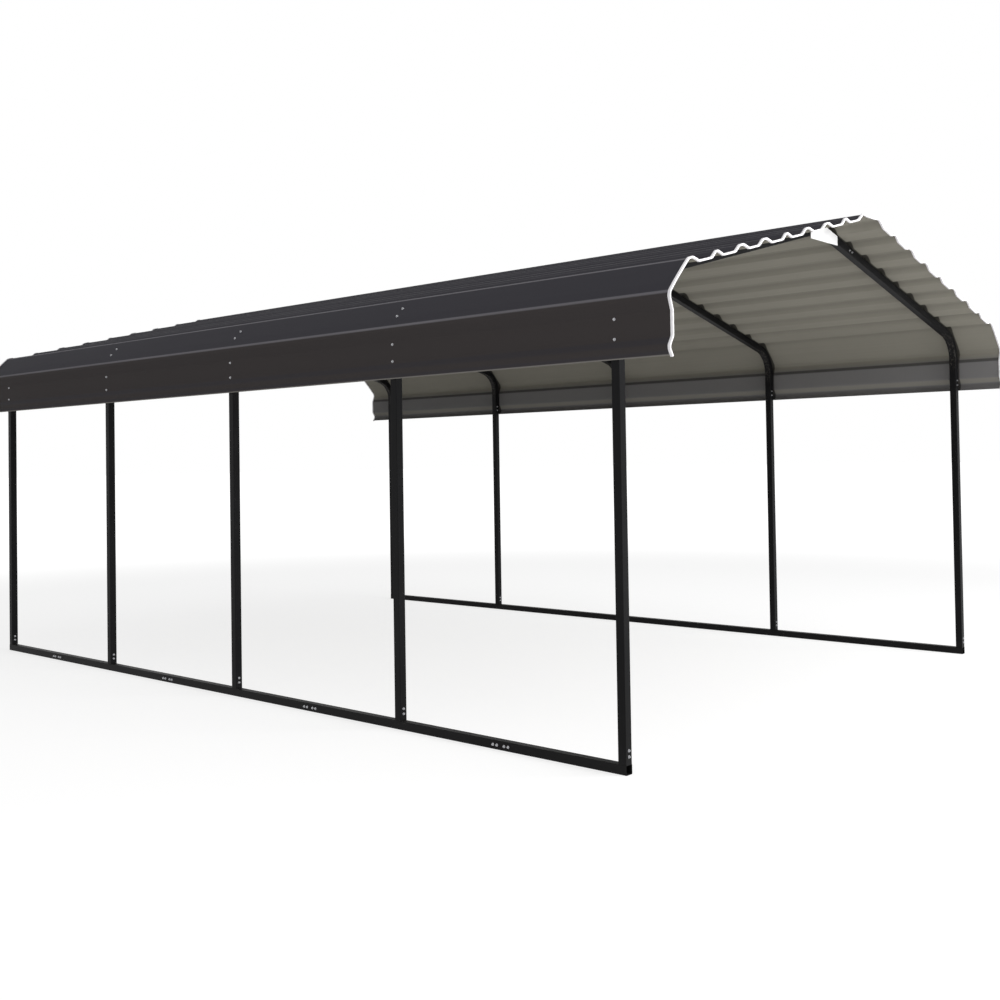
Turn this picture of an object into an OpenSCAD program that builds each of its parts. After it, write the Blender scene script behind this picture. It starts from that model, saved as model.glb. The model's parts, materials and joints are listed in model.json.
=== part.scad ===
// Steel carport: five square-tube frames on two ground rails, under a corrugated sheet roof.
// X runs across the drive, Y along it with the front at -Y, and Z is up from the ground.

/* [Frame] */
// Width over the outer faces of the posts
frame_w = 3658; // [2800:1:4600]
// Spacing of the five frames, centre to centre
bay = 1350; // [1000:1:1700]
// Height where the line of the rafter tops meets the outer face of the posts
shoulder_h = 2041; // [1700:1:2800]
// Slope of the roof, in degrees
roof_angle = 14.5; // [9:0.1:22]
// Outer radius of the bend between a bow's leg and its rafter
bend_r = 195; // [140:1:230]
// Straight leg of a bow below its bend
bow_leg = 186; // [130:1:400]
// Reach of each arm of a peak piece, along the slope
peak_arm = 355; // [240:1:600]
// Outer radius of the bend in a peak piece
peak_r = 120; // [80:1:200]

/* [Tube] */
// Outside width of the square tube
tube = 41.3; // [32:0.1:60]
// Wall of the square tube
tube_wall = 1.5; // [1:0.1:3]
// Creases on the inside of a bow's bend
crease_n = 7; // [3:1:9]
// Radius of a crease
crease_r = 7; // [4:0.5:9]
// Depth of a crease
crease_d = 0.7; // [0.2:0.05:0.8]
// Length of a spigot on each side of its joint
spigot_l = 80; // [50:1:110]
// Clearance on each side of a spigot in its socket
spigot_clear = 0.3; // [0.1:0.05:0.6]

/* [Roof sheet] */
// Thickness of the sheet
sheet_t = 1; // [0.6:0.1:1.6]
// Roof beyond the centre line of each end frame
overhang = 290; // [100:1:400]
// Drop of the fascia below the shoulder
fascia_h = 345; // [300:1:420]
// Lower edge of the fascia below the crest of its last rib
lip = 33; // [24:1:40]
// Turn of that edge back in from the crest
lip_hook = 15; // [4:0.5:16]
// Rise of the last rib from its crest to its upper foot
lip_rise = 44; // [34:1:60]
// Height of the ribs
rib_h = 22; // [14:0.5:28]
// Width of a wide rib at its foot
wide_foot = 120; // [100:1:140]
// Width of a wide rib at its crest
wide_crest = 34; // [26:1:55]
// Flat run of sheet over the ridge
ridge_flat = 92; // [70:1:120]
// Crest of the first rib on each side, away from the ridge
ridge_rib = 92; // [80:1:110]
// Width of the crest of those two ribs
ridge_crest = 16; // [10:1:24]
// Width of the crest of the two fascia ribs
fascia_crest = 20; // [12:1:30]
// Width of the crest of the knee rib on its outer side
knee_crest = 12; // [8:0.5:20]
// Width of a lap rib at its foot
lap_foot = 92; // [78:1:110]
// Width of a lap rib at its crest
lap_crest = 16; // [14:1:24]
// Radius of the folds in the sheet
fold_r = 24; // [8:0.5:24]
// Bare foot of a lap rib below the sheet that laps it
lap_short = 10; // [8:0.5:20]
// Gap between a sheet and what it lies on
seat_gap = 0.3; // [0.2:0.05:0.5]

/* [Edge trim] */
// Thickness of the edge trim across the sheet
trim_t = 11; // [8:0.5:16]
// Depth of the edge trim over the sheet
trim_d = 13; // [10:0.5:30]
// Trim beyond the edge of the sheet
trim_nose = 4; // [2:0.5:8]

/* [Plaque] */
// Width of the plaque on the front peak
plaque_w = 300; // [200:1:400]
// Height of the plaque at its sides
plaque_side = 50; // [30:1:80]
// Thickness of the plaque
plaque_t = 3; // [1.5:0.5:6]
// Plaque below the top of the peak piece
plaque_drop = 4; // [3:0.5:10]

/* [Hidden] */
$fn = 96;
FRAMES = [1 : 5];
SIDES = ["left", "right"];
PANELS = ["eave", "lower", "upper"];

frame_steel = "#202022";
roof_paint = "#38363A";
trim_white = "#F2F1F3";

half_w = frame_w / 2;
slope = roof_angle;
turn = 90 - slope;
apex_z = shoulder_h + half_w * tan(slope);
bend_tangent = bend_r * tan(turn / 2);
bend_z = shoulder_h - bend_tangent;
joint_z = bend_z - bow_leg;
rafter_run = half_w / cos(slope) - bend_tangent;
roof_l = 4 * bay + 2 * overhang;
bore = tube - 2 * tube_wall;
corner_r = 2 * tube_wall;
corner_steps = 3;
spigot_w = bore - 2 * spigot_clear;

// Developed length of one half of the roof, from the fascia's lower edge to the apex
fascia_flat = fascia_h - bend_tangent;
bend_l = bend_r * turn * PI / 180;
sheet_run = fascia_flat + bend_l + rafter_run;
// Ribs are counted from 0 beside the ridge, over the knee, to the last one on the fascia
KNEE_RIB = 8;
LAST_RIB = 10;
rib_pitch = (sheet_run - ridge_rib - lip) / LAST_RIB;
// Straight pieces that make up each fold
fold_steps = 2;
// A corner sharper than this is folded with the fold radius
fold_min = 8;
lap_lift = sheet_t + seat_gap;
// Sheets lie two deep in a lap
slot_t = 2 * sheet_t + seat_gap;

function frame_y(i) = (i - 3) * bay;
function last(list) = list[len(list) - 1];
function reversed(list) = [for (i = [len(list) - 1 : -1 : 0]) list[i]];
function mirrored(pts) = [for (p = reversed(pts)) [-p[0], p[1]]];
function unit(v) = v / norm(v);
function left_of(v) = [-v[1], v[0]];

// Line moved sideways by d, to the left of its direction, with mitred corners
function moved(pts, d) = [
    for (i = [0 : len(pts) - 1])
        let (
            before = unit(i == 0 ? pts[1] - pts[0] : pts[i] - pts[i - 1]),
            after = i == len(pts) - 1 ? before : unit(pts[i + 1] - pts[i]),
            mitre = left_of(unit(before + after))
        )
        pts[i] + mitre * d / (mitre * left_of(before))
];

// Line with its sharp corners turned into arcs of radius r
function folded(pts, r) = [
    for (i = [0 : len(pts) - 1])
        let (
            inside = i > 0 && i < len(pts) - 1,
            before = inside ? unit(pts[i] - pts[i - 1]) : [1, 0],
            after = inside ? unit(pts[i + 1] - pts[i]) : [1, 0],
            bend = atan2(cross(before, after), before * after),
            start = pts[i] - before * r * tan(abs(bend) / 2)
        )
        each abs(bend) < fold_min
            ? [pts[i]]
            : [
                for (k = [0 : fold_steps])
                    let (a = bend * k / fold_steps, swing = r * sign(bend))
                    start + swing * (before * sin(a) + left_of(before) * (1 - cos(a)))
            ]
];

// Line with both of its ends run on by d
function lengthened(pts, d) = concat(
    [pts[0] - d * unit(pts[1] - pts[0])],
    [for (i = [1 : len(pts) - 2]) pts[i]],
    [last(pts) + d * unit(last(pts) - pts[len(pts) - 2])]
);

// Point of the left roof half at s along the frame's outline and h above it
function on_roof(s, h) =
    let (
        a = 180 - 180 / PI * min(max(s - fascia_flat, 0), bend_l) / bend_r,
        out = [cos(a), sin(a)],
        foot = s < fascia_flat
            ? [-half_w, shoulder_h - fascia_h + s]
            : s < fascia_flat + bend_l
                ? [bend_r - half_w, bend_z] + bend_r * out
                : [0, apex_z] - (sheet_run - s) * [cos(slope), sin(slope)]
    )
    foot + (h + seat_gap) * out;
function roof_line(stations) = [for (p = stations) on_roof(p[0], p[1])];

// Every third rib is a narrow one, where two sheets lap
function is_lap(k) = k % 3 == 1;
function rib_s(k) = sheet_run - ridge_rib - k * rib_pitch;
function half_foot(k) = (is_lap(k) ? lap_foot : wide_foot) / 2;
function wide_crest_of(k) = k == 0 ? ridge_crest : k > KNEE_RIB ? fascia_crest : wide_crest;
function half_crest(k) = (is_lap(k) ? lap_crest : wide_crest_of(k)) / 2;
function outer_crest(k) = k == KNEE_RIB ? knee_crest : half_crest(k);
function flank(k) = atan(rib_h / (half_foot(k) - half_crest(k)));
function rib(k) = [
    [rib_s(k) - half_foot(k), 0],
    [rib_s(k) - outer_crest(k), rib_h],
    [rib_s(k) + half_crest(k), rib_h],
    [rib_s(k) + half_foot(k), 0]
];
function ribs(from, to) = [for (k = [from : -1 : to]) each rib(k)];

// Lower sheet of a lap: it ends on the crest, below the sheet that covers it
function lap_under(k) = [rib(k)[0], rib(k)[1], [rib_s(k) + half_crest(k) / 2, rib_h]];

// Upper sheet of a lap: it lies on the lower one and comes down to the pan behind the rib
function lap_over(k) =
    let (
        spread = lap_lift * tan(flank(k) / 2),
        foot = [rib_s(k) - half_foot(k) - spread, lap_lift],
        crest = half_crest(k) + spread
    )
    [
        foot + lap_short * [cos(flank(k)), sin(flank(k))],
        [rib_s(k) - crest, rib_h + lap_lift],
        [rib_s(k) + crest, rib_h + lap_lift],
        rib(k)[3]
    ];

// Lip of the fascia: the last rib, cut off part of the way down its lower flank
function fascia_lip() = [
    [0, rib_h - lip_hook],
    rib(LAST_RIB)[1],
    rib(LAST_RIB)[2],
    [lip + lip_rise, 0]
];

// Incline: the flat run of sheet between the fascia and the knee, which touches the bend half-way
incline_from = rib_s(KNEE_RIB + 1) + half_foot(KNEE_RIB + 1);
incline_to = rib_s(KNEE_RIB) - half_foot(KNEE_RIB);
incline_half = (incline_to - incline_from) / 2 / bend_r * 180 / PI;
incline_lift = (bend_r + seat_gap) * (1 / cos(incline_half) - 1);
function knee_ribs() = [
    rib(KNEE_RIB + 1)[0],
    rib(KNEE_RIB + 1)[1],
    rib(KNEE_RIB + 1)[2],
    [incline_from, incline_lift],
    [incline_to, incline_lift],
    rib(KNEE_RIB)[1],
    rib(KNEE_RIB)[2],
    rib(KNEE_RIB)[3]
];
function fascia_and_knee() = concat(fascia_lip(), knee_ribs());

// Rib beside the ridge, and the end of the flat that lies on the bend of the peak pieces
ridge_sink = peak_r * (1 / cos(slope) - 1);
ridge_lift = (ridge_flat / 2 * sin(slope) - ridge_sink + seat_gap) / cos(slope) - seat_gap;
function ridge_side() = [rib(0)[0], rib(0)[1], rib(0)[2], [sheet_run - ridge_flat / 2, ridge_lift]];

eave_line = folded(roof_line(concat(fascia_and_knee(), lap_under(7))), fold_r);
lower_line = folded(roof_line(concat(lap_over(7), ribs(6, 5), lap_under(4))), fold_r);
upper_line = folded(roof_line(concat(lap_over(4), ribs(3, 2), lap_under(1))), fold_r);
ridge_half = roof_line(concat(lap_over(1), ridge_side()));
ridge_line = folded(concat(ridge_half, mirrored(ridge_half)), fold_r);
edge_half = roof_line(concat(fascia_and_knee(), ribs(7, 1), ridge_side()));
edge_line = folded(concat(edge_half, mirrored(edge_half)), fold_r);

// Outline between two lines that run side by side
module band(line, low, high) {
    polygon(concat(moved(line, low), reversed(moved(line, high))));
}

// Outline in X and Z, extruded along Y from y
module along_y(y, length) {
    translate([0, y + length, 0])
        rotate([90, 0, 0])
            linear_extrude(length) children();
}

// Square section of width w with a bore of width b, centred
module hollow_square(w, b) {
    difference() {
        square(w, center = true);
        square(b, center = true);
    }
}

// Section of the tube, with its rolled corners
function tube_corner(turns) = [
    for (k = [0 : corner_steps])
        let (a = 90 * (turns + k / corner_steps), middle = 90 * turns + 45)
        (tube / 2 - corner_r) * sqrt(2) * [cos(middle), sin(middle)] + corner_r * [cos(a), sin(a)]
];
module tube_section() {
    difference() {
        polygon([for (turns = [0 : 3]) each tube_corner(turns)]);
        square(bore, center = true);
    }
}

// Tube along +Z, with its end at the origin
module tube_length(length) {
    linear_extrude(length) tube_section();
}

// Spigot along +Z: a sleeve set into the tube below the joint at the origin, and clear above it
module spigot(set_in = spigot_l) {
    spigot_bore = spigot_w - 2 * tube_wall;
    translate([0, 0, -set_in])
        linear_extrude(set_in) hollow_square(bore, spigot_bore);
    spigot_free();
}
module spigot_free() {
    linear_extrude(spigot_l) hollow_square(spigot_w, spigot_w - 2 * tube_wall);
}

// Full ring of bent tube in X and Z about the origin, r to its outer face
module tube_ring(r) {
    rotate([90, 0, 0])
        rotate_extrude() translate([r - tube / 2, 0]) tube_section();
}

// Space above the XY plane that takes in half of such a ring
module half_space(r) {
    translate([-2 * r, -tube, 0]) cube([4 * r, 2 * tube, 2 * r]);
}

// Left-hand piece, mirrored for the right-hand side
module on_side(side) {
    mirror([side == "left" ? 0 : 1, 0, 0]) children();
}

// Ground rail of one frame, to the middle of each bay, with the stub that the post stands over
module base_rail(i) {
    start = i == 1 ? frame_y(i) - tube / 2 : frame_y(i) - bay / 2;
    end = i == 5 ? frame_y(i) + tube / 2 : frame_y(i) + bay / 2;
    color(frame_steel)
        translate([tube / 2 - half_w, 0, tube / 2]) {
            translate([0, start, 0]) rotate([-90, 0, 0]) tube_length(end - start);
            if (i < 5)
                translate([0, end, 0]) rotate([-90, 0, 0]) spigot();
            translate([0, frame_y(i), tube / 2]) spigot_free();
        }
}

// Post, with the spigot that the bow's leg slips over
module post(i) {
    color(frame_steel)
        translate([tube / 2 - half_w, frame_y(i), 0]) {
            translate([0, 0, tube]) tube_length(joint_z - tube);
            translate([0, 0, joint_z]) spigot();
        }
}

// Creases that the bending leaves on the inside of a bow's bend
module creases() {
    reach = bend_r - tube - crease_r + crease_d;
    for (k = [1 : crease_n])
        rotate([0, turn * k / (crease_n + 1), 0])
            translate([-reach, 0, 0])
                rotate([90, 0, 0]) cylinder(r = crease_r, h = tube - 2 * corner_r, center = true);
}

// Bow: leg, bend and rafter in one tube, with the spigot for the peak piece
module bow(i) {
    rafter_l = rafter_run - peak_arm;
    color(frame_steel)
        translate([bend_r - half_w, frame_y(i), bend_z]) {
            translate([tube / 2 - bend_r, 0, -bow_leg]) tube_length(bow_leg);
            difference() {
                intersection() {
                    tube_ring(bend_r);
                    half_space(bend_r);
                    rotate([0, turn, 0]) mirror([0, 0, 1]) half_space(bend_r);
                }
                creases();
            }
            rotate([0, turn, 0])
                translate([tube / 2 - bend_r, 0, 0]) {
                    tube_length(rafter_l);
                    translate([0, 0, rafter_l]) spigot();
                }
        }
}

// Peak piece: two arms with a bend at the ridge
module peak(i) {
    arm_l = peak_arm - peak_r * tan(slope);
    color(frame_steel)
        translate([0, frame_y(i), apex_z - peak_r / cos(slope)]) {
            intersection() {
                tube_ring(peak_r);
                on_side("left") rotate([0, turn, 0]) half_space(peak_r);
                on_side("right") rotate([0, turn, 0]) half_space(peak_r);
            }
            for (side = SIDES)
                on_side(side)
                    rotate([0, turn, 0])
                        translate([tube / 2 - peak_r, 0, -arm_l]) tube_length(arm_l);
        }
}

// Roof sheet along its underside line
module sheet(line) {
    color(roof_paint)
        along_y(-roof_l / 2, roof_l) band(line, 0, sheet_t);
}
module panel(name) {
    sheet(name == "eave" ? eave_line : name == "lower" ? lower_line : upper_line);
}
module ridge_panel() {
    sheet(ridge_line);
}

// Edge trim: a channel over the ends of the sheets, following every rib
module edge_trim() {
    cheek = (trim_t - slot_t) / 2;
    color(trim_white)
        difference() {
            along_y(-roof_l / 2 - trim_nose, trim_nose + trim_d)
                band(lengthened(edge_line, trim_nose), -cheek, slot_t + cheek);
            along_y(-roof_l / 2 - seat_gap, trim_d + 1)
                band(lengthened(edge_line, seat_gap), -seat_gap, slot_t + seat_gap);
        }
}
module front_edge_trim() {
    edge_trim();
}
module rear_edge_trim() {
    mirror([0, 1, 0]) edge_trim();
}

// Bare plaque on the front of the first peak piece, its top parallel to the rafters
module front_plaque() {
    top = apex_z - plaque_drop;
    eaves = top - plaque_w / 2 * tan(slope);
    bottom = eaves - plaque_side;
    color(trim_white)
        along_y(frame_y(1) - tube / 2 - plaque_t, plaque_t)
            polygon([
                [-plaque_w / 2, bottom],
                [plaque_w / 2, bottom],
                [plaque_w / 2, eaves],
                [0, top],
                [-plaque_w / 2, eaves]
            ]);
}

for (side = SIDES, i = FRAMES) {
    on_side(side) base_rail(i);
    on_side(side) post(i);
    on_side(side) bow(i);
}
for (i = FRAMES)
    peak(i);
for (side = SIDES, name = PANELS)
    on_side(side) panel(name);
ridge_panel();
front_edge_trim();
rear_edge_trim();
front_plaque();
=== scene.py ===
import json
import math

import bmesh
import bpy
from mathutils import Matrix, Vector


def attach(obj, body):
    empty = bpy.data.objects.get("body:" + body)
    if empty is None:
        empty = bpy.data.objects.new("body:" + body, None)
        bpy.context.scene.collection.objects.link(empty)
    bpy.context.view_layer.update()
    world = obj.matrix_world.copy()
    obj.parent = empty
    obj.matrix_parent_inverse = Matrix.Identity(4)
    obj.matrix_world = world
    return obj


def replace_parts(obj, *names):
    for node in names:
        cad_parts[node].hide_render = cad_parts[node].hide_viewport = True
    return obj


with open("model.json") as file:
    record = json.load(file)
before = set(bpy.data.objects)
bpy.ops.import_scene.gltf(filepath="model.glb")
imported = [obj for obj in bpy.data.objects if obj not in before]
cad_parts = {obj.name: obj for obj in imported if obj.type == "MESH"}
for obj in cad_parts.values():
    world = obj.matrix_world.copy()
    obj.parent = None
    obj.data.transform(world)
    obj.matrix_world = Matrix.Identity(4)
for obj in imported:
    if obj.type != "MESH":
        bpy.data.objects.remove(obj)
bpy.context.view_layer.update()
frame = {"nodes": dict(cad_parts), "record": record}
nodes = frame["nodes"]
print("carport frame loaded:", len(nodes), "pieces")


# shader sums as plain expressions on sockets
class Wire:
    def __init__(self, paint, socket):
        self.paint = paint
        self.socket = socket

    def __add__(self, other):
        return self.paint.sum("ADD", self, other)

    def __radd__(self, other):
        return self.paint.sum("ADD", other, self)

    def __sub__(self, other):
        return self.paint.sum("SUBTRACT", self, other)

    def __rsub__(self, other):
        return self.paint.sum("SUBTRACT", other, self)

    def __mul__(self, other):
        return self.paint.sum("MULTIPLY", self, other)

    def __rmul__(self, other):
        return self.paint.sum("MULTIPLY", other, self)

    def __gt__(self, other):
        return self.paint.sum("GREATER_THAN", self, other)

    def __abs__(self):
        return self.paint.sum("ABSOLUTE", self, 0)


class Paint:
    def __init__(self, name, tree=None):
        self.look = None
        if tree is None:
            self.look = bpy.data.materials.new(name)
            self.look.use_nodes = True
            tree = self.look.node_tree
        self.tree = tree
        self.tree.nodes.clear()

    def add(self, kind, settings=None, sockets=None, out=0):
        node = self.tree.nodes.new(kind)
        for name, value in (settings or {}).items():
            setattr(node, name, value)
        for name, value in (sockets or {}).items():
            if isinstance(value, Wire):
                self.tree.links.new(value.socket, node.inputs[name])
            else:
                node.inputs[name].default_value = value
        return Wire(self, node.outputs[out]) if node.outputs else None

    def sum(self, operation, first, second):
        return self.add("ShaderNodeMath", {"operation": operation}, {0: first, 1: second})

    def most(self, first, second):
        return self.sum("MAXIMUM", first, second)

    def vector(self, operation, sockets, out=0):
        return self.add("ShaderNodeVectorMath", {"operation": operation}, sockets, out)

    def place(self):
        return self.add("ShaderNodeNewGeometry", out="Position")

    def facing(self):
        return self.add("ShaderNodeNewGeometry", out="True Normal")

    def part(self, vector, axis):
        return self.add("ShaderNodeSeparateXYZ", None, {0: vector}, out=axis)

    def stretched(self, vector, scale):
        return self.vector("MULTIPLY", {0: vector, 1: scale})

    def noise(self, vector, scale, detail=3.0, rough=0.55):
        sockets = {"Vector": vector, "Scale": scale, "Detail": detail, "Roughness": rough}
        return self.add("ShaderNodeTexNoise", None, sockets, out="Fac")

    def between(self, value, low, high):
        sockets = {"Value": value, "From Min": low, "From Max": high}
        return self.add("ShaderNodeMapRange", {"interpolation_type": "SMOOTHSTEP"}, sockets)

    def tint(self, share, first, second):
        return self.add("ShaderNodeMix", {"data_type": "RGBA"}, {0: share, 6: first, 7: second}, out=2)

    def bump(self, height, strength, depth, normal=None):
        sockets = {"Height": height, "Strength": strength, "Distance": depth}
        if normal is not None:
            sockets["Normal"] = normal
        return self.add("ShaderNodeBump", None, sockets)

    def surface(self, sockets):
        self.show(self.add("ShaderNodeBsdfPrincipled", None, sockets))
        return self.look

    def show(self, shader, kind="ShaderNodeOutputMaterial"):
        self.add(kind, None, {"Surface": shader})


# a web colour in linear light
def tone(text):
    levels = [int(text[k:k + 2], 16) / 255 for k in (1, 3, 5)]
    linear = [v / 12.92 if v <= 0.04045 else ((v + 0.055) / 1.055) ** 2.4 for v in levels]
    return (*linear, 1.0)


# camera at the photograph's place
shot = {
    "place": (-5.6565, -5.5804, 1.2931),
    "heading": 49.289,  # degrees from +Y towards +X
    "pitch": 1.181,
    "roll": -0.926,
    "lens": 41.950,
    "sensor": 36.0,
    "shiftX": -0.04,
    "shiftY": -0.0645,
    "clipEnd": 500.0,
}
heading = math.radians(shot["heading"])
pitch = math.radians(shot["pitch"])
roll = math.radians(shot["roll"])
ahead = Vector((math.cos(pitch) * math.sin(heading), math.cos(pitch) * math.cos(heading), math.sin(pitch)))
level = Vector((math.cos(heading), -math.sin(heading), 0))
upright = level.cross(ahead)
across = level * math.cos(roll) + upright * math.sin(roll)
upwards = upright * math.cos(roll) - level * math.sin(roll)
lens = bpy.data.cameras.new("shot")
lens.lens = shot["lens"]
lens.sensor_width = shot["sensor"]
lens.shift_x = shot["shiftX"]
lens.shift_y = shot["shiftY"]
lens.clip_end = shot["clipEnd"]
camera = bpy.data.objects.new("shot", lens)
bpy.context.scene.collection.objects.link(camera)
turned = Matrix((across, upwards, -ahead)).transposed().to_4x4()
camera.matrix_world = Matrix.Translation(shot["place"]) @ turned
bpy.context.scene.camera = camera
bpy.context.scene.view_settings.view_transform = "Standard"
print("camera set")

# white studio: a soft world, three large lamps and a pale floor
studio = {
    "worldFill": 0.40,
    "aim": (0.0, 0.0, 1.2),
    "floorReach": 150.0,
    "floorDrop": 0.0005,  # just under the rails
    "floorPale": 0.90,
    "floorSeen": 0.40,  # share of the light and shadow that the camera sees on the floor
    "floorGlow": 0.70,
    "glowRange": (6.0, 13.0),  # metres from the middle over which the floor turns white
}
# only the top lamp shows in gloss, so the upright tubes have no glare
lamps = [
    {"name": "top", "place": (-0.5, -3.0, 9.0), "size": (9.0, 11.0), "watts": 180.0, "gloss": True},
    {"name": "front", "place": (2.0, -9.3, 3.0), "size": (6.0, 5.0), "watts": 740.0, "gloss": False},
    {"name": "left", "place": (-11.0, -5.5, 4.2), "size": (7.0, 5.0), "watts": 200.0, "gloss": False},
]
for lamp in lamps:
    light = bpy.data.lights.new(lamp["name"] + "Lamp", "AREA")
    light.shape = "RECTANGLE"
    light.size, light.size_y = lamp["size"]
    light.energy = lamp["watts"]
    holder = bpy.data.objects.new(lamp["name"] + "Lamp", light)
    bpy.context.scene.collection.objects.link(holder)
    holder.location = lamp["place"]
    aim = Vector(studio["aim"]) - Vector(lamp["place"])
    holder.rotation_euler = aim.to_track_quat("-Z", "Y").to_euler()
    holder.visible_camera = False
    holder.visible_glossy = lamp["gloss"]


# rays that look at the studio, and not those that light it
def seenRays(paint):
    seen = 0
    for kind in ("Camera", "Glossy", "Transmission"):
        seen = paint.most(paint.add("ShaderNodeLightPath", out="Is " + kind + " Ray"), seen)
    return seen


world = bpy.data.worlds.new("studio")
bpy.context.scene.world = world
world.use_nodes = True
sky = Paint("sky", world.node_tree)
skyLight = seenRays(sky) * (1 - studio["worldFill"]) + studio["worldFill"]
sky.show(
    sky.add("ShaderNodeBackground", None, {"Color": (1, 1, 1, 1), "Strength": skyLight}),
    "ShaderNodeOutputWorld",
)

ground = Paint("paleFloor")
seen = seenRays(ground)
far = ground.between(ground.vector("LENGTH", {0: ground.place()}, "Value"), *studio["glowRange"])
glow = seen * (studio["floorGlow"] + far * (1 - studio["floorGlow"]))
pale = ground.tint(seen, (studio["floorPale"],) * 3 + (1,), (studio["floorSeen"],) * 3 + (1,))
ground.show(ground.add("ShaderNodeAddShader", None, {
    0: ground.add("ShaderNodeBsdfDiffuse", None, {"Color": pale}),
    1: ground.add("ShaderNodeEmission", None, {"Strength": glow}),
}))
reach = studio["floorReach"]
corners = [(-reach, -reach, 0), (reach, -reach, 0), (reach, reach, 0), (-reach, reach, 0)]
floorMesh = bpy.data.meshes.new("floor")
floorMesh.from_pydata(corners, [], [(0, 1, 2, 3)])
floor = bpy.data.objects.new("floor", floorMesh)
floorMesh.materials.append(ground.look)
bpy.context.scene.collection.objects.link(floor)
floor.location.z = -studio["floorDrop"]
print("studio set")

# places on the frame, in metres, as the tubes and sheets are laid out
form = {
    "halfWidth": 1.829,
    "bay": 1.350,
    "frames": 5,
    "shoulder": 2.041,
    "slope": math.radians(14.5),
    "bendRadius": 0.195,
    "fasciaDrop": 0.345,
    "overhang": 0.290,
    "tube": 0.0413,
    "sheet": 0.0010,
    "seatGap": 0.0003,
    "ribHeight": 0.022,
    "lip": 0.033,
    "lipHook": 0.015,
    "lipRise": 0.044,
    "peakRadius": 0.120,
    "ridgeFlat": 0.092,
    "ridgeRib": 0.092,
    "ridgeCrest": 0.016,
    "wideFoot": 0.120,
    "wideCrest": 0.034,
    "fasciaCrest": 0.020,
    "kneeCrest": 0.012,
    "lapFoot": 0.092,
    "lapCrest": 0.016,
    "foldRadius": 0.024,
    "kneeRib": 8,  # ribs are counted from the ridge
    "lastRib": 10,
    "ribsPerSheet": 3,
}
turn = math.pi / 2 - form["slope"]
bendTangent = form["bendRadius"] * math.tan(turn / 2)
bendLevel = form["shoulder"] - bendTangent
fasciaFlat = form["fasciaDrop"] - bendTangent
lowest = form["shoulder"] - form["fasciaDrop"]
bendLength = form["bendRadius"] * turn
apex = form["shoulder"] + form["halfWidth"] * math.tan(form["slope"])
sheetRun = fasciaFlat + bendLength + form["halfWidth"] / math.cos(form["slope"]) - bendTangent
frameLines = [(k - (form["frames"] - 1) / 2) * form["bay"] for k in range(form["frames"])]


# a point of the roof's left half in X and Z, s from the fascia's edge and h outwards, with the way out
def onRoof(s, h):
    angle = math.pi - min(max(s - fasciaFlat, 0), bendLength) / form["bendRadius"]
    out = Vector((math.cos(angle), math.sin(angle)))
    if s < fasciaFlat:
        foot = Vector((-form["halfWidth"], lowest + s))
    elif s < fasciaFlat + bendLength:
        foot = Vector((form["bendRadius"] - form["halfWidth"], bendLevel)) + form["bendRadius"] * out
    else:
        along = Vector((math.cos(form["slope"]), math.sin(form["slope"])))
        foot = Vector((0, apex)) - (sheetRun - s) * along
    return foot + (h + form["seatGap"]) * out, out


ribPitch = (sheetRun - form["ridgeRib"] - form["lip"]) / form["lastRib"]


def isLap(k):
    return k % form["ribsPerSheet"] == 1


def crestOf(k):
    if isLap(k):
        return form["lapCrest"]
    if k == 0:
        return form["ridgeCrest"]
    return form["fasciaCrest" if k > form["kneeRib"] else "wideCrest"]


# lower foot, two corners of the crest and upper foot of a rib
def ribStations(k):
    middle = sheetRun - form["ridgeRib"] - k * ribPitch
    foot = form["lapFoot" if isLap(k) else "wideFoot"] / 2
    crest = crestOf(k) / 2
    outer = form["kneeCrest"] if k == form["kneeRib"] else crest
    high = form["ribHeight"]
    return [(middle - foot, 0), (middle - outer, high), (middle + crest, high), (middle + foot, 0)]


# flat run of the sheet over the bend, between the fascia and the knee
inclineFrom = ribStations(form["kneeRib"] + 1)[3][0]
inclineTo = ribStations(form["kneeRib"])[0][0]
inclineHalf = (inclineTo - inclineFrom) / 2 / form["bendRadius"]
inclineLift = (form["bendRadius"] + form["seatGap"]) * (1 / math.cos(inclineHalf) - 1)


def onIncline(step, h):
    point, out = onRoof((inclineFrom + inclineTo) / 2, h)
    return point + step * Vector((out.y, -out.x)), out


# middle of the flat between a rib and the next one down
def onFlat(k, h):
    return onRoof((ribStations(k + 1)[3][0] + ribStations(k)[0][0]) / 2, h)


def roofEdge():
    knee = form["kneeRib"]
    lipRib = ribStations(form["lastRib"])
    stations = [(0, form["ribHeight"] - form["lipHook"]), lipRib[1], lipRib[2]]
    stations += [(form["lip"] + form["lipRise"], 0)] + ribStations(knee + 1)[:3]
    stations += [(inclineFrom, inclineLift), (inclineTo, inclineLift)] + ribStations(knee)[1:]
    for k in range(knee - 1, 0, -1):
        stations += ribStations(k)

    # the ridge rib, then the flat over the peak
    slope, gap, flatHalf = form["slope"], form["seatGap"], form["ridgeFlat"] / 2
    sink = form["peakRadius"] * (1 / math.cos(slope) - 1)
    lift = (flatHalf * math.sin(slope) - sink + gap) / math.cos(slope) - gap
    stations += ribStations(0)[:3] + [(sheetRun - flatHalf, lift)]
    half = [onRoof(s, h)[0] for s, h in stations]
    return half + [Vector((-p.x, p.y)) for p in reversed(half)]


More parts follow.
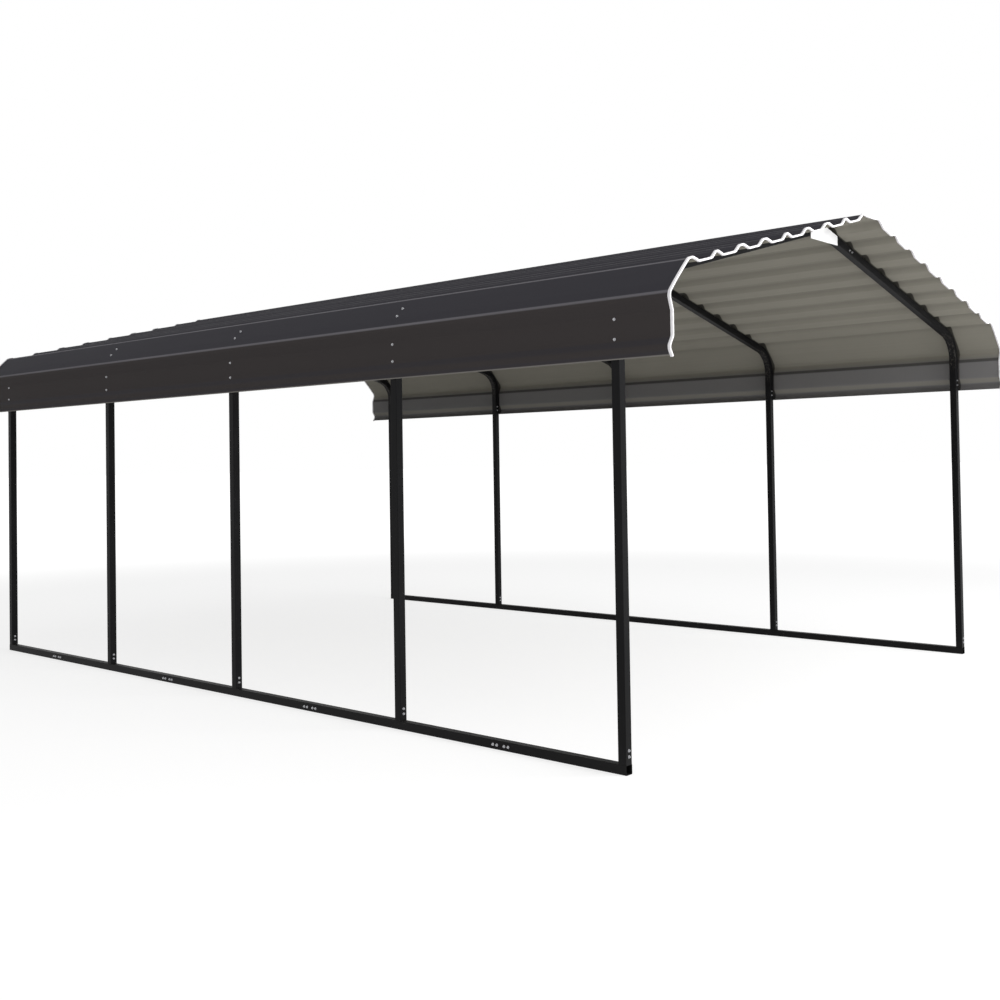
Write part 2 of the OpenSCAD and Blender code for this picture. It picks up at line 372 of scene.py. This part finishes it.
# satin black enamel on the tubes; ranges are of the noise, shares are of the tint
enamel = {
    "dark": "#111112",
    "worn": "#1C1C1D",
    "dust": "#3C3A38",
    "tooled": "#4A4844",
    "rough": 0.44,
    "specular": 0.08,
    "patchScale": 2.6,
    "patchRange": (0.35, 0.70),
    "patchShare": 0.6,
    "patchRough": 0.08,
    "scuffStretch": (60, 60, 9),
    "scuffRange": (0.66, 0.74),
    "scuffShare": 0.25,
    "scuffRough": 0.10,
    "dustScale": 14,
    "dustRange": (0.3, 0.75),
    "dustSlope": (0.6, 0.95),  # how far a face has to look up
    "dustShare": 0.28,
    "splashHeight": 0.12,
    "splashShare": 0.12,
    "speckleScale": 420,
    "speckleRough": 0.04,
    "toolScale": 90,
    "toolRange": (0.50, 0.62),
    "toolDeep": (0.001, 0.4 * form["tube"]),  # from the inside of the bend
    "toolShare": 0.7,
    "peelScale": 260,
    "peelBump": (0.08, 0.0006),
}


def frameEnamel():
    paint = Paint("frameEnamel")
    spot = paint.place()
    height = paint.part(spot, "Z")
    patches = paint.between(paint.noise(spot, enamel["patchScale"], 4), *enamel["patchRange"])
    speckle = paint.noise(spot, enamel["speckleScale"], 2)
    scuffSpot = paint.stretched(spot, enamel["scuffStretch"])
    scuffs = paint.between(paint.noise(scuffSpot, 1.0, 5, 0.7), *enamel["scuffRange"])
    worn = patches * enamel["patchShare"] + scuffs * enamel["scuffShare"]
    base = paint.tint(worn, tone(enamel["dark"]), tone(enamel["worn"]))

    # the bending tool's marks on the inside of the bows
    sideways = abs(paint.part(spot, "X")) - (form["halfWidth"] - form["bendRadius"])
    inside = form["bendRadius"] - form["tube"]
    centred = paint.add("ShaderNodeCombineXYZ", None, {0: sideways, 2: height - bendLevel})
    fromBend = paint.vector("LENGTH", {0: centred}, "Value")
    inBend = 1 - paint.between(fromBend, *[inside + deep for deep in enamel["toolDeep"]])
    tooled = inBend * paint.between(paint.noise(spot, enamel["toolScale"], 4, 0.7), *enamel["toolRange"])
    base = paint.tint(tooled * enamel["toolShare"], base, tone(enamel["tooled"]))

    # dust on upper faces and splashes near the ground
    upward = paint.between(paint.part(paint.facing(), "Z"), *enamel["dustSlope"])
    settled = upward * paint.between(paint.noise(spot, enamel["dustScale"], 5), *enamel["dustRange"])
    low = 1 - paint.between(height, 0.0, enamel["splashHeight"])
    dusty = settled * enamel["dustShare"] + low * speckle * enamel["splashShare"]
    rough = enamel["rough"] + patches * enamel["patchRough"] + scuffs * enamel["scuffRough"]
    return paint.surface({
        "Base Color": paint.tint(dusty, base, tone(enamel["dust"])),
        "Roughness": rough + speckle * enamel["speckleRough"],
        "Specular IOR Level": enamel["specular"],
        "Normal": paint.bump(paint.noise(spot, enamel["peelScale"], 2), *enamel["peelBump"]),
    })


# roof sheet: charcoal paint outside, warm grey back coat inside
sheetPaint = {
    "outside": "#313035",
    "outsideLight": "#37363B",
    # painted light: tones for the faces that lean at the incline and stand upright at the fascia
    "incline": "#3C3B40",
    "fascia": "#403C3B",
    # painted highlight along the eave's two folds
    "foldHighlight": "#77757A",
    "bare": "#7C7975",
    "inside": "#8F8C82",
    "insideDark": "#807D74",
    # painted shade on the fascia's back
    "insideFascia": "#757474",
    "shade": "#2C2A28",
    "rough": 0.50,
    "specular": 0.02,
    "middle": (0.0, 0.0, 1.0),  # a point under the roof, which tells its two faces apart
    "rollStretch": (60, 0.5, 60),
    "cloudScale": 1.7,
    "cloudRough": 0.10,
    "grainScale": 350,
    "grainRough": 0.05,
    "grainBump": (0.06, 0.0005),
    "waveStretch": (3.2, 0.9, 3.2),
    "waveBump": (0.22, 0.02),
    "outsideMix": (0.7, 0.3),  # shares of the clouds and of the rolling lines
    "insideMix": (0.5, 0.5),
    "leanRange": (0.45, 0.65),  # share of X in the way a face looks
    "leanMix": (0.6, 0.4),  # even share and clouded share
    "uprightRange": (0.75, 0.97),
    "uprightShare": 0.85,
    "foldHighlightMix": (0.5, 0.5),
    "foldHighlightRange": (0.0035, 0.014),  # metres from a fold
    "bareRange": (0.002, 0.007),  # metres over the fascia's lower edge
    # painted shade on the lip's hook and painted light from the floor on the lip
    "lipShadeRange": (0.034, 0.044),
    "lipShadeShare": 0.30,
    "lipLitFrom": (0.042, 0.048),
    "lipLitTo": (0.068, 0.078),
    "lipLitShare": 0.6,
    "fasciaFade": 0.05,
    # painted shade in the ribs' hollows
    "hollowRange": (0.004, 0.020),  # metres up into a rib
    "hollowShare": 0.10,
    "deepRange": (0.001, 0.010),
    # painted shadow beside the rafters
    "rafterRange": (0.024, 0.033),  # metres from a rafter's middle line
    "rafterWiden": 0.002,  # more than that in a rib
    "rafterShare": 0.85,
    "lapEdge": 0.002,  # above the rib's upper foot
    "lapRange": (0.001, 0.004),
    "lapShare": 0.55,
    # painted shade in the fold over the fascia
    "creaseRise": 0.008,
    "creaseRange": (0.006, 0.014),
    "creaseDeep": (-0.006, -0.002),
    "creaseShare": 0.62,
}


# two shares put together, the second of them clouded
def clouded(cloudy, shares):
    return shares[0] + cloudy * shares[1]


def roofOutside(paint, spot, normal, rolled, cloudy):
    aside, height = abs(paint.part(spot, "X")), paint.part(spot, "Z")
    lean = abs(paint.part(normal, "X"))
    mottled = cloudy * sheetPaint["outsideMix"][0] + rolled * sheetPaint["outsideMix"][1]
    outer = paint.tint(mottled, tone(sheetPaint["outside"]), tone(sheetPaint["outsideLight"]))
    # painted light: leaning faces at the incline get a lighter tone, upright faces of the fascia a browner
    # one
    leaning = paint.between(lean, *sheetPaint["leanRange"]) * clouded(cloudy, sheetPaint["leanMix"])
    outer = paint.tint(leaning, outer, tone(sheetPaint["incline"]))
    upright = paint.between(lean, *sheetPaint["uprightRange"])
    outer = paint.tint(upright * sheetPaint["uprightShare"], outer, tone(sheetPaint["fascia"]))

    # painted highlight along the two sharp folds of the eave
    foldHighlight = 0
    for s, h in (ribStations(form["kneeRib"] + 1)[2], ribStations(form["kneeRib"])[1]):
        fold = onRoof(s, h)[0]
        away = abs(aside + fold.x) + abs(height - fold.y)
        foldHighlight = paint.most(1 - paint.between(away, *sheetPaint["foldHighlightRange"]), foldHighlight)
    outer = paint.tint(foldHighlight * clouded(cloudy, sheetPaint["foldHighlightMix"]), outer, tone(sheetPaint["foldHighlight"]))
    cut = 1 - paint.between(height - lowest, *sheetPaint["bareRange"])
    return paint.tint(cut, outer, tone(sheetPaint["bare"]))


def roofInside(paint, spot, rolled, cloudy):
    aside, height = abs(paint.part(spot, "X")), paint.part(spot, "Z")
    mottled = cloudy * sheetPaint["insideMix"][0] + rolled * sheetPaint["insideMix"][1]
    inner = paint.tint(mottled, tone(sheetPaint["inside"]), tone(sheetPaint["insideDark"]))

    # painted shade: the fascia's back darker and cooler than the back coat; painted floor light on its lip,
    # painted shade on its hook
    foot = onRoof(*ribStations(form["kneeRib"] + 1)[0])[0]
    up = height - lowest
    lowBand = 1 - paint.between(height, foot.y, foot.y + sheetPaint["fasciaFade"])
    lipLit = paint.between(up, *sheetPaint["lipLitFrom"]) * (1 - paint.between(up, *sheetPaint["lipLitTo"]))
    lipShade = 1 - paint.between(up, *sheetPaint["lipShadeRange"])
    fasciaBack = lowBand * (1 - lipLit * sheetPaint["lipLitShare"])
    inner = paint.tint(fasciaBack, inner, tone(sheetPaint["insideFascia"]))
    inner = paint.tint(lipShade * sheetPaint["lipShadeShare"], inner, tone(sheetPaint["shade"]))

    # painted shade in the ribs' hollows and in the fold over the fascia; dark lines at the laps
    slope = form["slope"]
    rise = (height - apex + aside * math.tan(slope)) * math.cos(slope)
    hollow = paint.between(rise, *sheetPaint["hollowRange"])
    laps = 0
    for k in range(form["kneeRib"]):
        if isLap(k):
            lapX = -onRoof(ribStations(k)[3][0] + sheetPaint["lapEdge"], 0)[0].x
            laps = paint.most(1 - paint.between(abs(aside - lapX), *sheetPaint["lapRange"]), laps)
    creased = paint.between(aside + foot.x, *sheetPaint["creaseDeep"])
    fromFold = abs(height - foot.y - sheetPaint["creaseRise"])
    creased = creased * (1 - paint.between(fromFold, *sheetPaint["creaseRange"]))
    shaded = hollow * sheetPaint["hollowShare"] + laps * sheetPaint["lapShare"]
    shaded = shaded + creased * sheetPaint["creaseShare"]
    inner = paint.tint(shaded, inner, tone(sheetPaint["shade"]))

    # painted shadow, most of all, beside the rafters, reaching further inside the ribs
    beside = paint.sum("PINGPONG", paint.part(spot, "Y"), form["bay"] / 2)
    deep = paint.between(rise, *sheetPaint["deepRange"])
    rafterShadow = 1 - paint.between(beside - deep * sheetPaint["rafterWiden"], *sheetPaint["rafterRange"])
    return paint.tint(rafterShadow * sheetPaint["rafterShare"], inner, tone(sheetPaint["shade"]))


def roofPaint():
    paint = Paint("roofPaint")
    spot, normal = paint.place(), paint.facing()
    rolled = paint.noise(paint.stretched(spot, sheetPaint["rollStretch"]), 1.0, 4, 0.6)
    cloudy = paint.noise(spot, sheetPaint["cloudScale"], 4)
    grain = paint.noise(spot, sheetPaint["grainScale"], 2)
    waves = paint.noise(paint.stretched(spot, sheetPaint["waveStretch"]), 1.0, 2)
    outward = paint.vector("SUBTRACT", {0: paint.stretched(spot, (1, 0, 1)), 1: sheetPaint["middle"]})
    isOutside = paint.vector("DOT_PRODUCT", {0: outward, 1: normal}, "Value") > 0
    inner = roofInside(paint, spot, rolled, cloudy)
    outer = roofOutside(paint, spot, normal, rolled, cloudy)
    rough = sheetPaint["rough"] + cloudy * sheetPaint["cloudRough"] + grain * sheetPaint["grainRough"]
    return paint.surface({
        "Base Color": paint.tint(isOutside, inner, outer),
        "Roughness": rough,
        "Specular IOR Level": sheetPaint["specular"],
        "Normal": paint.bump(grain, *sheetPaint["grainBump"], paint.bump(waves, *sheetPaint["waveBump"])),
    })


# white vinyl of the edge trim
vinyl = {
    "white": "#F3F1F4",
    "grimy": "#E4E2E4",
    "rough": 0.38,
    "specular": 0.4,
    "grimeScale": 22,
    "grimeRange": (0.45, 0.8),
    "grimeShare": 0.7,
    "grimeRough": 0.12,
    "grainScale": 500,
    "grainBump": (0.05, 0.0004),
}


def trimVinyl():
    paint = Paint("trimVinyl")
    spot = paint.place()
    grime = paint.between(paint.noise(spot, vinyl["grimeScale"], 5), *vinyl["grimeRange"])
    return paint.surface({
        "Base Color": paint.tint(grime * vinyl["grimeShare"], tone(vinyl["white"]), tone(vinyl["grimy"])),
        "Roughness": vinyl["rough"] + grime * vinyl["grimeRough"],
        "Specular IOR Level": vinyl["specular"],
        "Normal": paint.bump(paint.noise(spot, vinyl["grainScale"], 2), *vinyl["grainBump"]),
    })


# white enamel of the plaque
plaqueWhite = {
    "white": "#F4F4F5",
    "mottled": "#E9E9EB",
    "rough": 0.26,
    "specular": 0.5,
    "mottleScale": 30,
    "brushStretch": (8, 8, 240),
    "brushRough": 0.10,
    "brushBump": (0.05, 0.0003),
}


def plaqueEnamel():
    paint = Paint("plaqueEnamel")
    spot = paint.place()
    brushed = paint.noise(paint.stretched(spot, plaqueWhite["brushStretch"]), 1.0, 3)
    mottled = paint.noise(spot, plaqueWhite["mottleScale"], 4)
    return paint.surface({
        "Base Color": paint.tint(mottled, tone(plaqueWhite["white"]), tone(plaqueWhite["mottled"])),
        "Roughness": plaqueWhite["rough"] + brushed * plaqueWhite["brushRough"],
        "Specular IOR Level": plaqueWhite["specular"],
        "Normal": paint.bump(brushed, *plaqueWhite["brushBump"]),
    })


# zinc plate of the screws
zinc = {
    "bright": "#C9C9CC",
    "dull": "#9FA0A4",
    "rough": 0.30,
    "spangleScale": 700,
    "spangleRough": 0.18,
}


def zincPlate():
    paint = Paint("zincPlate")
    spangle = paint.noise(paint.place(), zinc["spangleScale"], 2)
    return paint.surface({
        "Base Color": paint.tint(spangle, tone(zinc["bright"]), tone(zinc["dull"])),
        "Metallic": 1.0,
        "Roughness": zinc["rough"] + spangle * zinc["spangleRough"],
    })


finishes = {
    "frame": frameEnamel(),
    "roof": roofPaint(),
    "trim": trimVinyl(),
    "plaque": plaqueEnamel(),
    "fasteners": zincPlate(),
}
slotOf = {p["node"]: p["material_slot"] for p in frame["record"]["subparts"]}
for name, piece in nodes.items():
    if not piece.data.materials:
        piece.data.materials.append(None)
    for k in range(len(piece.material_slots)):
        piece.material_slots[k].material = finishes[slotOf[name]]
print("finishes set")


# a new piece of the carport from its points and faces, smooth up to an angle in degrees
def newPiece(name, verts, faces, slotName, smooth):
    mesh = bpy.data.meshes.new(name)
    mesh.from_pydata(verts, [], faces)
    work = bmesh.new()
    work.from_mesh(mesh)
    bmesh.ops.recalc_face_normals(work, faces=work.faces)
    work.to_mesh(mesh)
    work.free()
    mesh.polygons.foreach_set("use_smooth", [True] * len(mesh.polygons))
    mesh.set_sharp_from_angle(angle=math.radians(smooth))
    mesh.materials.append(finishes[slotName])
    piece = bpy.data.objects.new(name, mesh)
    bpy.context.scene.collection.objects.link(piece)
    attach(piece, "root")
    return piece


# white trim: a rounded channel pushed over the ends of the sheets
bead = {
    "thick": 0.0095,
    "nose": 0.004,  # beyond the end of the sheet
    "deep": 0.014,
    "slot": 0.0029,
    "heel": [(0.96, 0.0015), (0.72, 0.0)],  # share of the half thickness, metres before the back
    "mouth": [(0.0006, 0.0004), (0.0, 0.0014)],  # metres beside the slot, metres before the back
    "steps": 6,
    "noseSteps": 8,
    "straight": math.radians(8),  # bends below this stay corners
    "smooth": 40,
}


# corners of a line turned into arcs
def rounded(line, radius, steps):
    path = [line[0]]
    for before, corner, after in zip(line, line[1:], line[2:]):
        come, go = (corner - before).normalized(), (after - corner).normalized()
        bend = math.atan2(come.x * go.y - come.y * go.x, come.dot(go))
        if abs(bend) < bead["straight"]:
            path.append(corner)
            continue
        start = corner - come * radius * math.tan(abs(bend) / 2)
        left = Vector((-come.y, come.x)) * math.copysign(radius, bend)
        for k in range(steps + 1):
            a = abs(bend) * k / steps
            path.append(start + come * radius * math.sin(a) + left * (1 - math.cos(a)))
    return path + [line[-1]]


def beadSection():
    thick, slot = bead["thick"] / 2, bead["slot"] / 2
    back, inside = bead["deep"], bead["nose"] - form["seatGap"]
    nose = [math.pi * (k / bead["noseSteps"] - 0.5) for k in range(bead["noseSteps"] + 1)]
    outer = [(thick * math.sin(a), thick * (1 - math.cos(a))) for a in nose]
    upper = [(thick * share, back - step) for share, step in bead["heel"]]
    upper += [(slot + wider, back - step) for wider, step in bead["mouth"]]
    slotFloor = [(slot, inside), (-slot, inside)]
    lower = [(-u, v) for u, v in reversed(upper)]
    return outer + upper + slotFloor + lower


def edgeBead(name, end, node):
    path = rounded(roofEdge(), form["foldRadius"], bead["steps"])
    path[0] += (path[0] - path[1]).normalized() * bead["nose"]
    path[-1] += (path[-1] - path[-2]).normalized() * bead["nose"]
    section = beadSection()
    lift = (2 * form["sheet"] + form["seatGap"]) / 2  # middle of the sheets, two deep at the laps
    front = -frameLines[0] + form["overhang"] + bead["nose"]
    verts, faces = [], []
    for i, point in enumerate(path):
        come = (point - path[i - 1]).normalized() if i else (path[1] - point).normalized()
        go = (path[i + 1] - point).normalized() if i < len(path) - 1 else come
        mitre = (come + go).normalized()
        side = Vector((-mitre.y, mitre.x))
        side /= side.dot(Vector((-come.y, come.x)))
        for u, v in section:
            at = point + side * (u + lift)
            verts.append((at.x, end * (front - v), at.y))
    count = len(section)
    for i in range(len(path) - 1):
        for k in range(count):
            a, b = i * count + k, i * count + (k + 1) % count
            faces.append((a, b, b + count, a + count))
    faces.append(tuple(range(count)))
    faces.append(tuple(range(len(verts) - count, len(verts))))
    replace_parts(newPiece(name, verts, faces, "trim", bead["smooth"]), node)


edgeBead("front_edge_bead", -1, "front_edge_trim")
edgeBead("rear_edge_bead", 1, "rear_edge_trim")
print("edge trim set")

# self-drilling screws: a hex head on a domed flange, each as radius and height
screw = {
    "flange": [(0.0066, 0.0), (0.0068, 0.0006), (0.0062, 0.0014), (0.0048, 0.0020)],
    "head": [(0.0046, 0.0012), (0.0046, 0.0050), (0.0040, 0.0058)],
    "flangeSides": 16,
    "headSides": 6,
    "spinStep": 0.7,  # heads stop at different angles
    "smooth": 30,
}


def lathe(verts, faces, profile, sides, base, way, spin):
    side = way.orthogonal().normalized()
    other = way.cross(side)
    start = len(verts)
    for radius, height in profile:
        for k in range(sides):
            a = spin + 2 * math.pi * k / sides
            verts.append(base + way * height + radius * (side * math.cos(a) + other * math.sin(a)))
    for ring in range(len(profile) - 1):
        for k in range(sides):
            low, nextLow = start + ring * sides + k, start + ring * sides + (k + 1) % sides
            faces.append((low, nextLow, nextLow + sides, low + sides))
    faces.append(tuple(start + k for k in reversed(range(sides))))
    faces.append(tuple(start + (len(profile) - 1) * sides + k for k in range(sides)))


def screwSet(name, seats):
    verts, faces = [], []
    for k, (base, way) in enumerate(seats):
        spin = screw["spinStep"] * k
        lathe(verts, faces, screw["flange"], screw["flangeSides"], base, way, spin)
        lathe(verts, faces, screw["head"], screw["headSides"], base, way, spin)
    newPiece(name, verts, faces, "fasteners", screw["smooth"])


# screw rows, in metres
rows = {
    "fascia": [0.085, 0.168],  # from the fascia's lower edge
    "incline": [-0.030, 0.026],  # from its middle
    "inclineFrames": [1, 2, 3],  # the end frames have none
    "foot": [0.074, 0.099],
    "leg": [1.731, 1.760],
    "peak": [0.300, 0.330],  # from the middle of the roof
    "splice": [-0.046, -0.022, 0.022, 0.046],  # from the middle of a bay
}
tubeHalf = form["tube"] / 2


# a screw's seat on the left half, or mirrored onto the right
def seat(side, place, way):
    return Vector((-side * place[0], *place[1:])), Vector((-side * way[0], *way[1:]))


def sheetSeats(side, k):
    spots = [onRoof(s, form["sheet"]) for s in rows["fascia"]]
    if k in rows["inclineFrames"]:
        spots += [onIncline(step, form["sheet"]) for step in rows["incline"]]
    spots += [onFlat(rib, form["sheet"]) for rib in range(form["kneeRib"])]
    return [seat(side, (p.x, frameLines[k], p.y), (out.x, 0, out.y)) for p, out in spots]


def tubeSeats(side, k):
    front, postX = frameLines[k] - tubeHalf, tubeHalf - form["halfWidth"]
    places = [(postX, front, z) for z in rows["foot"] + rows["leg"]]
    for x in rows["peak"]:
        drop = tubeHalf / math.cos(form["slope"]) + x * math.tan(form["slope"])
        places.append((-x, front, apex - drop))
    seats = [seat(side, place, (0, -1, 0)) for place in places]
    if k < form["frames"] - 1:
        middle = frameLines[k] + form["bay"] / 2
        for step in rows["splice"]:
            seats.append(seat(side, (-form["halfWidth"], middle + step, tubeHalf), (-1, 0, 0)))
    return seats


roofSeats, frameSeats = [], []
for side in (-1, 1):
    for k in range(form["frames"]):
        roofSeats += sheetSeats(side, k)
        frameSeats += tubeSeats(side, k)
screwSet("roof_screws", roofSeats)
screwSet("frame_screws", frameSeats)
print("screws set:", len(roofSeats) + len(frameSeats))
